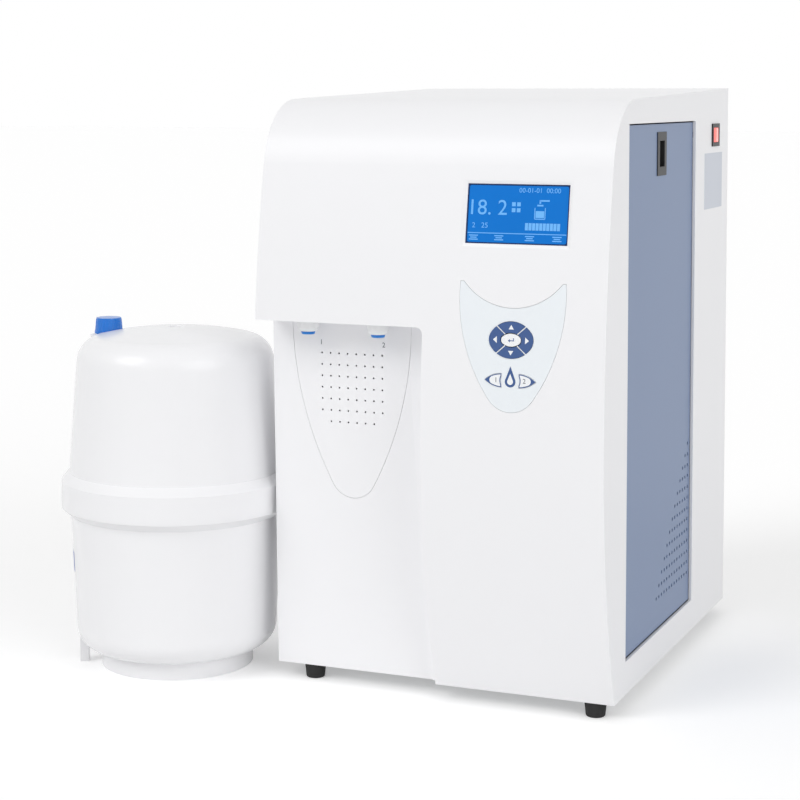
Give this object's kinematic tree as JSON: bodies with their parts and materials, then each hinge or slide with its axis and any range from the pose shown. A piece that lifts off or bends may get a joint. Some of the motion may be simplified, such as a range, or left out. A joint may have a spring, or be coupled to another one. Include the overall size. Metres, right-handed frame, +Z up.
{
  "type": "ultrapure water system",
  "caption": "Bench-top ultrapure water system: curved cabinet with dispensing bay, display, keypad and service door over filters, and its free-standing pressure tank.",
  "frame": {"origin": "centre of the base of the whole system, cabinet and tank together, on the bench", "axes": "+Z up; the front faces -Y; +X runs to the cabinet's right, with the tank on the -X side"},
  "size_m": [0.607, 0.549, 0.6],
  "materials": {
    "casing_white": "white ABS, moulded, satin gloss",
    "liner_white": "white ABS, moulded, satin",
    "door_grey_blue": "grey-blue powder coat",
    "display_blue": "lit blue window",
    "shield_white": "keypad overlay, satin",
    "key_blue": "blue key film",
    "key_white": "white key film",
    "collet_blue": "blue acetal",
    "cap_blue": "blue polyethylene",
    "rubber_black": "black rubber",
    "plastic_black": "black moulded",
    "plastic_grey": "grey moulded",
    "switch_red": "clear red, lit",
    "zinc_steel": "zinc-plated sheet",
    "stainless": "drawn stainless steel",
    "tank_white": "white glass-filled polypropylene",
    "filter_white": "white polypropylene",
    "board_green": "solder-masked board",
    "butyl_black": "butyl rubber sheet",
    "tube_white": "translucent polyethylene tube",
    "quartz": "quartz sleeve",
    "brass": "turned brass",
    "valve_blue": "blue coil cover"
  },
  "bodies": {
    "cabinet": {"casing": "casing_white", "base_plate": "zinc_steel", "rear_panel": "casing_white", "bay_liner": "liner_white", "splash_insert": "liner_white", "outlet_left": "liner_white", "outlet_right": "liner_white", "outlet_collets": "collet_blue", "display_window": "display_blue", "display_module": "board_green", "keypad_plate": "shield_white", "keypad_board": "board_green", "drop_lens": "key_blue", "hinge_brackets": "zinc_steel", "switch_frame": "plastic_black", "feet": "rubber_black", "filter_bracket": "zinc_steel", "filter_heads": "filter_white", "osmosis_vessel": "filter_white", "vessel_clips": "plastic_grey", "uv_chamber": "stainless", "uv_lamp": "quartz", "uv_clips": "plastic_grey", "pump_motor": "plastic_grey", "pump_head": "plastic_black", "pump_mount": "rubber_black", "solenoid_valves": "valve_blue", "conductivity_cell": "filter_white", "power_supply": "zinc_steel", "control_board": "board_green", "board_standoffs": "brass", "tube_ultrapure": "tube_white", "tube_osmosis": "tube_white", "tube_feed": "tube_white", "tube_pressure": "tube_white", "tube_tank": "tube_white", "tube_waste": "tube_white", "rear_ports": "plastic_grey", "port_nuts": "liner_white", "mains_inlet": "plastic_black"},
    "door": {"side_door": "door_grey_blue", "latch_bezel": "plastic_black"},
    "latch": {"latch_slider": "plastic_grey"},
    "power_rocker": {"rocker": "switch_red"},
    "up_key": {"key_up": "key_blue"},
    "right_key": {"key_right": "key_blue"},
    "down_key": {"key_down": "key_blue"},
    "left_key": {"key_left": "key_blue"},
    "enter_key": {"key_enter": "key_white"},
    "left_outlet_key": {"key_outlet_left": "key_white"},
    "right_outlet_key": {"key_outlet_right": "key_white"},
    "tank": {"tank_upper": "tank_white", "tank_lower": "tank_white", "tank_diaphragm": "butyl_black", "tank_port": "liner_white"},
    "tank_plug": {"tank_cap": "cap_blue"},
    "filter_1": {"cartridge_1": "filter_white"},
    "filter_2": {"cartridge_2": "filter_white"},
    "filter_3": {"cartridge_3": "filter_white"},
    "filter_4": {"cartridge_4": "filter_white"}
  },
  "joints": [
    {"name": "door_hinge", "type": "hinge", "parent": "cabinet", "child": "door", "pos_m": [0.29096, -0.019, 0.056], "axis": [0, 1, 0], "range_deg": [0, 75]},
    {"name": "latch_slide", "type": "slide", "parent": "door", "child": "latch", "axis": [0, 0, -1], "range_m": [0, 0.01]},
    {"name": "rocker_tilt", "type": "hinge", "parent": "cabinet", "child": "power_rocker", "pos_m": [0.29646, 0.1955, 0.5485], "axis": [0, 0, -1], "range_deg": [0, 14]},
    {"name": "up_press", "type": "slide", "parent": "cabinet", "child": "up_key", "axis": [0, 1, 0], "range_m": [0, 0.0005], "stiffness_N_per_m": 120},
    {"name": "right_press", "type": "slide", "parent": "cabinet", "child": "right_key", "axis": [0, 1, 0], "range_m": [0, 0.0005], "stiffness_N_per_m": 120},
    {"name": "down_press", "type": "slide", "parent": "cabinet", "child": "down_key", "axis": [0, 1, 0], "range_m": [0, 0.0005], "stiffness_N_per_m": 120},
    {"name": "left_press", "type": "slide", "parent": "cabinet", "child": "left_key", "axis": [0, 1, 0], "range_m": [0, 0.0005], "stiffness_N_per_m": 120},
    {"name": "enter_press", "type": "slide", "parent": "cabinet", "child": "enter_key", "axis": [0, 1, 0], "range_m": [0, 0.0005], "stiffness_N_per_m": 120},
    {"name": "left_outlet_press", "type": "slide", "parent": "cabinet", "child": "left_outlet_key", "axis": [0, 1, 0], "range_m": [0, 0.0005], "stiffness_N_per_m": 120},
    {"name": "right_outlet_press", "type": "slide", "parent": "cabinet", "child": "right_outlet_key", "axis": [0, 1, 0], "range_m": [0, 0.0005], "stiffness_N_per_m": 120},
    {"name": "cartridge_1_twist", "type": "hinge", "parent": "cabinet", "child": "filter_1", "pos_m": [0.24796, -0.1075, 0.5], "axis": [0, 0, 1], "range_deg": [0, 90]},
    {"name": "cartridge_2_twist", "type": "hinge", "parent": "cabinet", "child": "filter_2", "pos_m": [0.24796, -0.0485, 0.5], "axis": [0, 0, 1], "range_deg": [0, 90]},
    {"name": "cartridge_3_twist", "type": "hinge", "parent": "cabinet", "child": "filter_3", "pos_m": [0.24796, 0.0105, 0.5], "axis": [0, 0, 1], "range_deg": [0, 90]},
    {"name": "cartridge_4_twist", "type": "hinge", "parent": "cabinet", "child": "filter_4", "pos_m": [0.24796, 0.0695, 0.5], "axis": [0, 0, 1], "range_deg": [0, 90]},
    {"name": "tank_place", "type": "slide", "parent": "cabinet", "child": "tank", "axis": [-1, 0, 0], "range_m": [0, 0.15]},
    {"name": "tank_cap_lift", "type": "slide", "parent": "tank", "child": "tank_plug", "axis": [0, 0, 1], "range_m": [0, 0.03]}
  ]
}
